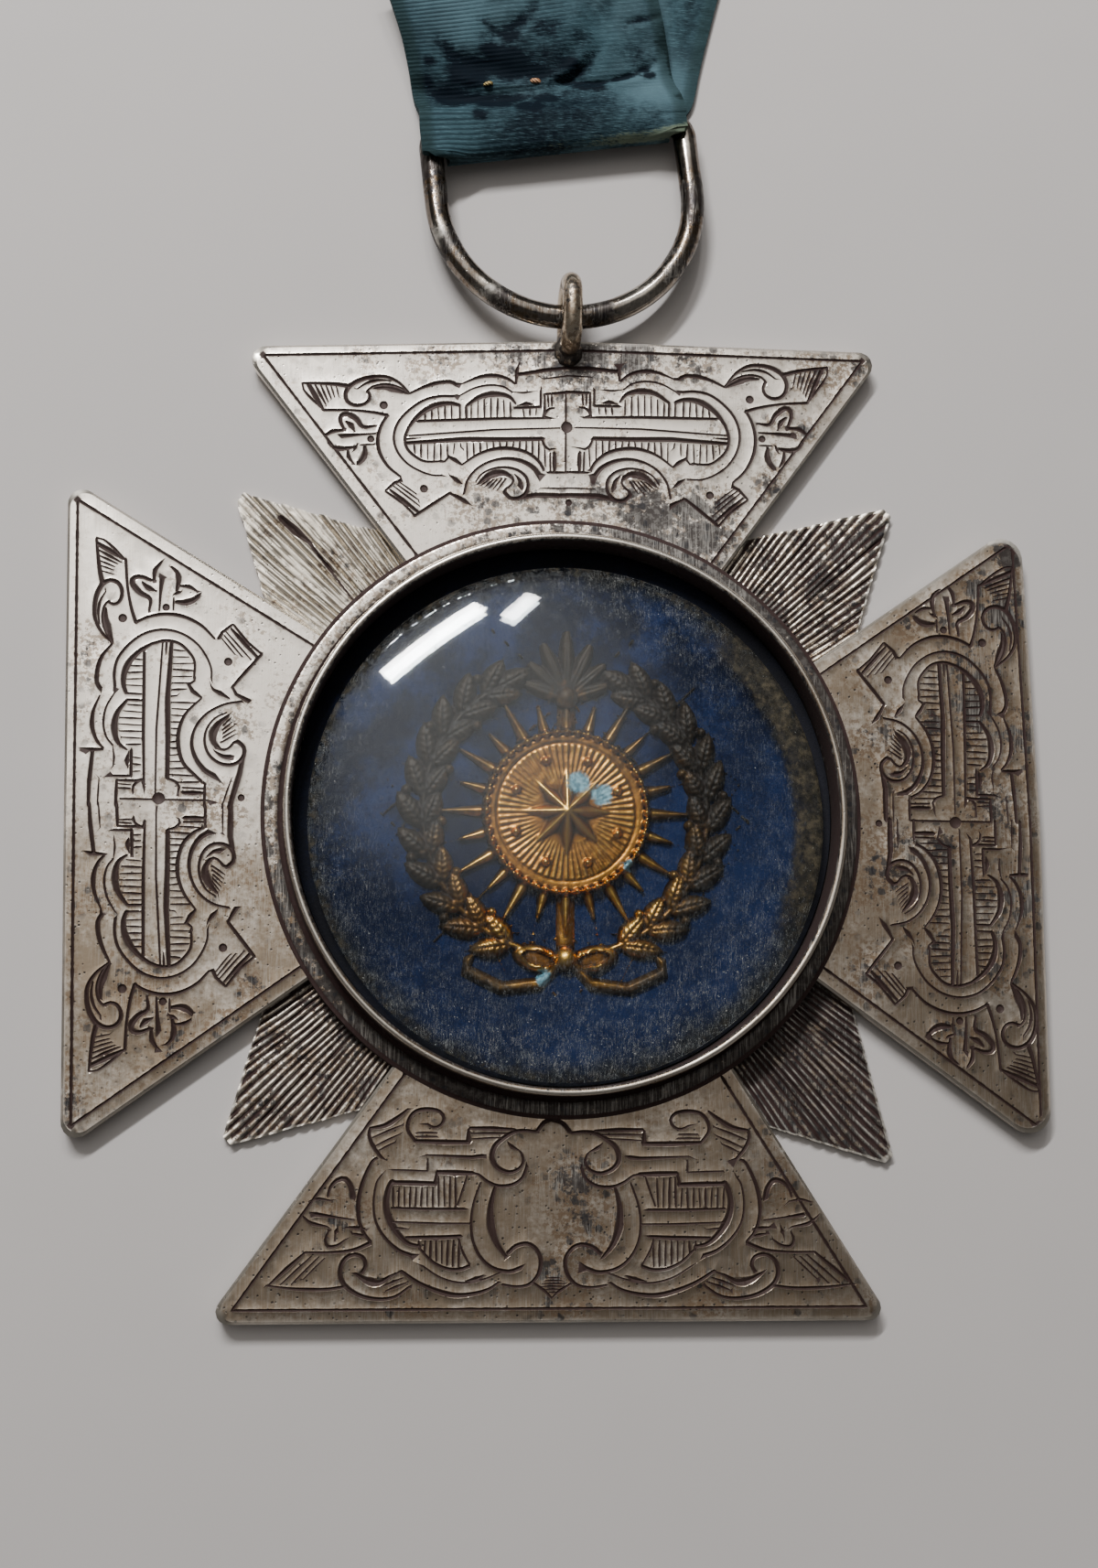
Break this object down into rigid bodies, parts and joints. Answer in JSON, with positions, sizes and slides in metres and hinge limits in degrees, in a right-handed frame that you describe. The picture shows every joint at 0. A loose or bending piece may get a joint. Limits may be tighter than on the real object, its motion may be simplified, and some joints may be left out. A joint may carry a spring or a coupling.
{
  "type": "fraternal jewel",
  "caption": "Silver cross jewel with four flared engraved arms, ribbed rays, a glazed round centre with a gilt wreath emblem, wire bail, D-ring and folded silk ribbon.",
  "frame": {"origin": "centre of the cross, on the flat back that the jewel rests on", "axes": "+X to the wearer's left as seen from the front, +Y towards the ribbon, +Z out of the jewel's face"},
  "size_m": [0.0906, 0.1339, 0.0075],
  "materials": {
    "silver": "engraved silver plate, worn, with brown tarnish in the cuts",
    "ray_silver": "ribbed silver, bright on the ridges and dark in the grooves",
    "velvet": "faded dark blue pile",
    "gilt": "gilt casting, bright in the middle, tarnished dark at the edges, with green spots",
    "glass": "clear domed glass with dust and fine scratches",
    "dark_silver": "round silver wire, darkly tarnished, polished where it rubs",
    "silk": "teal ribbed silk, creased and worn pale along the fold"
  },
  "bodies": {
    "root": {"cross": "silver", "ray_star": "ray_silver", "blue_ground": "velvet", "emblem": "gilt", "glass_dome": "glass", "hanging_ring": "dark_silver", "ribbon": "silk"}
  },
  "joints": []
}
